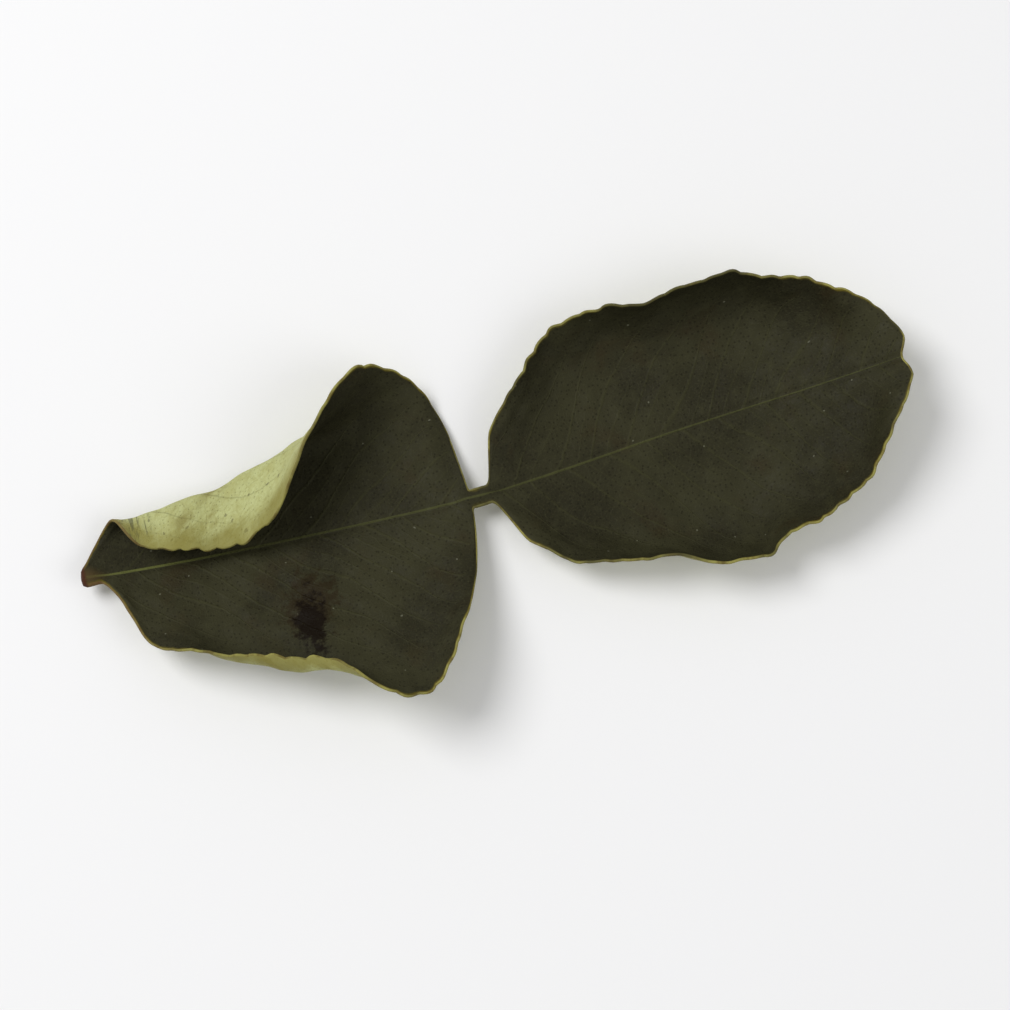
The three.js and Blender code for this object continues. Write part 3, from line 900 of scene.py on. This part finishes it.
def under_material():
    """The pale underside, browned towards its margin, with dark streaks of painted shade where it
    is creased.
    """
    tree = Tree("leaf_underside")
    face = leaf_face(tree)
    sheet = face.sheet
    broad = tree.cloud(sheet, 9, levels=(0.34, 0.66))
    colour = tree.mix(broad, UNDER_DARK, UNDER_LIGHT)
    mottled = tree.cloud(tree.warped(sheet, size=3, amount=1.5), 1.9, levels=(0.42, 0.7), most=0.6,
                         detail=5.0, roughness=0.7)
    colour = tree.tint(colour, mottled, UNDER_MOTTLE)
    uneven = tree.cloud(sheet, 14, levels=(0.42, 0.6), detail=2.0)
    browned = tree.cloud(tree.warped(sheet, size=4, amount=2.5), 3.2, levels=(0.43, 0.66),
                         most=0.85, detail=5.0, roughness=0.68)
    colour = tree.tint(colour, browned, UNDER_BROWN, strength=uneven)
    streaks = tree.cloud(tree.warped(sheet, size=0.8, amount=0.5), 0.33, levels=(0.46, 0.7),
                         most=0.6, detail=4.0, roughness=0.7)
    colour = tree.tint(colour, streaks, UNDER_STREAK)
    colour = tree.tint(colour, face.fine_net, UNDER_FINE_NET, strength=0.12)
    colour = tree.tint(colour, face.net, UNDER_NET, strength=0.12)
    colour = tree.tint(colour, face.veins, UNDER_VEIN, strength=0.16)
    specks = tree.dots(sheet, 0.5, radius=0.2, chance=0.45)
    colour = tree.tint(colour, specks, UNDER_SPECK, strength=0.45)
    marks = tree.dots(tree.warped(sheet, size=3, amount=2.0), 2.3, radius=0.09, chance=0.6)
    colour = tree.tint(colour, marks, UNDER_MARK, strength=0.55)
    edge = tree.plus(tree.value("edge"), tree.swing(sheet, 2.6, detail=4.0), 5.0)
    colour = tree.tint(colour, tree.fade(edge, 0.4, 3.2, high=0.8), UNDER_MARGIN)
    # Painted shade: dark slanted streaks in the creases near the fold's start, on the underside
    crease_shade_patch = patch(tree, face, place=6.4, across=8.2, length=2.2, breadth=2.6, raggedness=1.8)
    slanted = {"Vector": sheet, "Rotation": (0.0, 0.0, 0.9), "Scale": (3.2, 0.5, 1.0)}
    slanted = tree.node("ShaderNodeMapping", slanted).outputs[0]
    shade_streaks = tree.cloud(slanted, 1.4, levels=(0.5, 0.62), most=0.62, detail=2.0)
    colour = tree.tint(colour, crease_shade_patch, PAINTED_CREASE_SHADE, strength=shade_streaks)
    colour = tree.tint(colour, tree.fade(face.out, 0.35, 0.85), UNDER_MIDRIB, strength=0.7)
    colour = tree.tint(colour, tree.fade(face.place, 0.8, 5.0), UNDER_FOOT, strength=0.75)
    colour = tree.tint(colour, tree.fade(face.place, 0.15, 0.6), SCAR)

    rough = tree.cloud(sheet, 1.2, levels=(0.3, 0.7), least=0.68, most=0.84)
    normal = tree.relief((tree.noise(sheet, 0.2), 0.03), (face.fine_net, 0.012),
                         (face.net, 0.018), (face.veins, 0.08), (tree.noise(sheet, 1.3), 0.06))
    return tree.finished(colour, rough, normal, specular=0.3)


def rim_material():
    """The thin rim, pale with dark stretches, and reddish at the foot and the scar."""
    tree = Tree("leaf_rim")
    sheet = tree.sheet()
    place = tree.value("place")
    colour = tree.mix(tree.cloud(sheet, 1.3, levels=(0.4, 0.66), detail=4.0), RIM_LIGHT, RIM_DARK)
    most = tree.step(place, *PAST_SHOULDER, low=0.35, high=0.85)
    stained = tree.cloud(sheet, 7, levels=(0.36, 0.6), least=most, most=0.0, roughness=0.6)
    colour = tree.tint(colour, stained, RIM_STAIN)
    near_foot = tree.fade(tree.plus(place, tree.noise(sheet, 2.5), 8), 6, 14)
    colour = tree.tint(colour, near_foot, RIM_FOOT, strength=0.7)
    colour = tree.tint(colour, tree.fade(place, 0.15, 0.6), SCAR)

    rough = tree.cloud(sheet, 0.8, levels=(0.3, 0.7), least=0.6, most=0.8)
    return tree.finished(colour, rough, tree.relief((tree.noise(sheet, 0.25), 0.04)), specular=0.2)


leaf = bpy.data.objects.new("makrut_lime_leaf", leaf_mesh())
bpy.context.scene.collection.objects.link(leaf)
for material in (upper_material(), under_material(), rim_material()):
    leaf.data.materials.append(material)
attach(leaf, "root")
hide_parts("leaf")


# Floor, light and camera, in metres

FLOOR_SIZE = 3
FLOOR_COLOUR = (0.84, 0.84, 0.845)
FLOOR_ROUGHNESS = 0.8
KEY_LIGHT = dict(place=(-0.35, 0.3, 0.6), size=0.4, power=3.6)
FILL_LIGHT = dict(place=(0.45, -0.35, 0.5), size=0.5, power=1.1)
STUDIO_STRENGTH = 0.5
LENS_MM = 100
SENSOR_MM = 36
PHOTO_VIEW = dict(azimuth=-15, elevation=80, target=(0, 0, 0.004), frame_width=0.108)


def floor():
    """A pale floor that the leaf lies on."""
    tree = Tree("floor")
    tree.feed(tree.shader.inputs["Base Color"], FLOOR_COLOUR)
    tree.feed(tree.shader.inputs["Roughness"], FLOOR_ROUGHNESS)
    bpy.ops.mesh.primitive_plane_add(size=FLOOR_SIZE, location=(0, 0, 0))
    plane = bpy.context.object
    plane.name = "floor"
    plane.data.materials.append(tree.material)


def area_light(name, place, size, power):
    """A round lamp that points at the leaf."""
    light = bpy.data.lights.new(name, "AREA")
    light.shape = "DISK"
    light.size = size
    light.energy = power
    lamp = bpy.data.objects.new(name, light)
    lamp.location = place
    lamp.rotation_euler = (-Vector(place)).to_track_quat("-Z", "Y").to_euler()
    bpy.context.scene.collection.objects.link(lamp)


def studio():
    """Even light from all around."""
    world = bpy.data.worlds.new("studio")
    world.use_nodes = True
    background = world.node_tree.nodes["Background"]
    background.inputs["Color"].default_value = (1, 1, 1, 1)
    background.inputs["Strength"].default_value = STUDIO_STRENGTH
    bpy.context.scene.world = world


def camera(azimuth, elevation, target, frame_width):
    """Looks at the target from that azimuth, measured from -Y, and frames that width."""
    data = bpy.data.cameras.new("camera")
    data.lens = LENS_MM
    data.sensor_width = SENSOR_MM
    data.clip_start = 0.01
    eye = bpy.data.objects.new("camera", data)
    a, e = math.radians(azimuth), math.radians(elevation)
    back = Vector((math.sin(a) * math.cos(e), -math.cos(a) * math.cos(e), math.sin(e)))
    distance = frame_width / 2 / (data.sensor_width / 2 / data.lens)
    eye.location = Vector(target) + back * distance
    eye.rotation_euler = (-back).to_track_quat("-Z", "Y").to_euler()
    bpy.context.scene.collection.objects.link(eye)
    bpy.context.scene.camera = eye


floor()
area_light("key", **KEY_LIGHT)
area_light("fill", **FILL_LIGHT)
studio()
bpy.context.scene.view_settings.view_transform = "Standard"
camera(**PHOTO_VIEW)
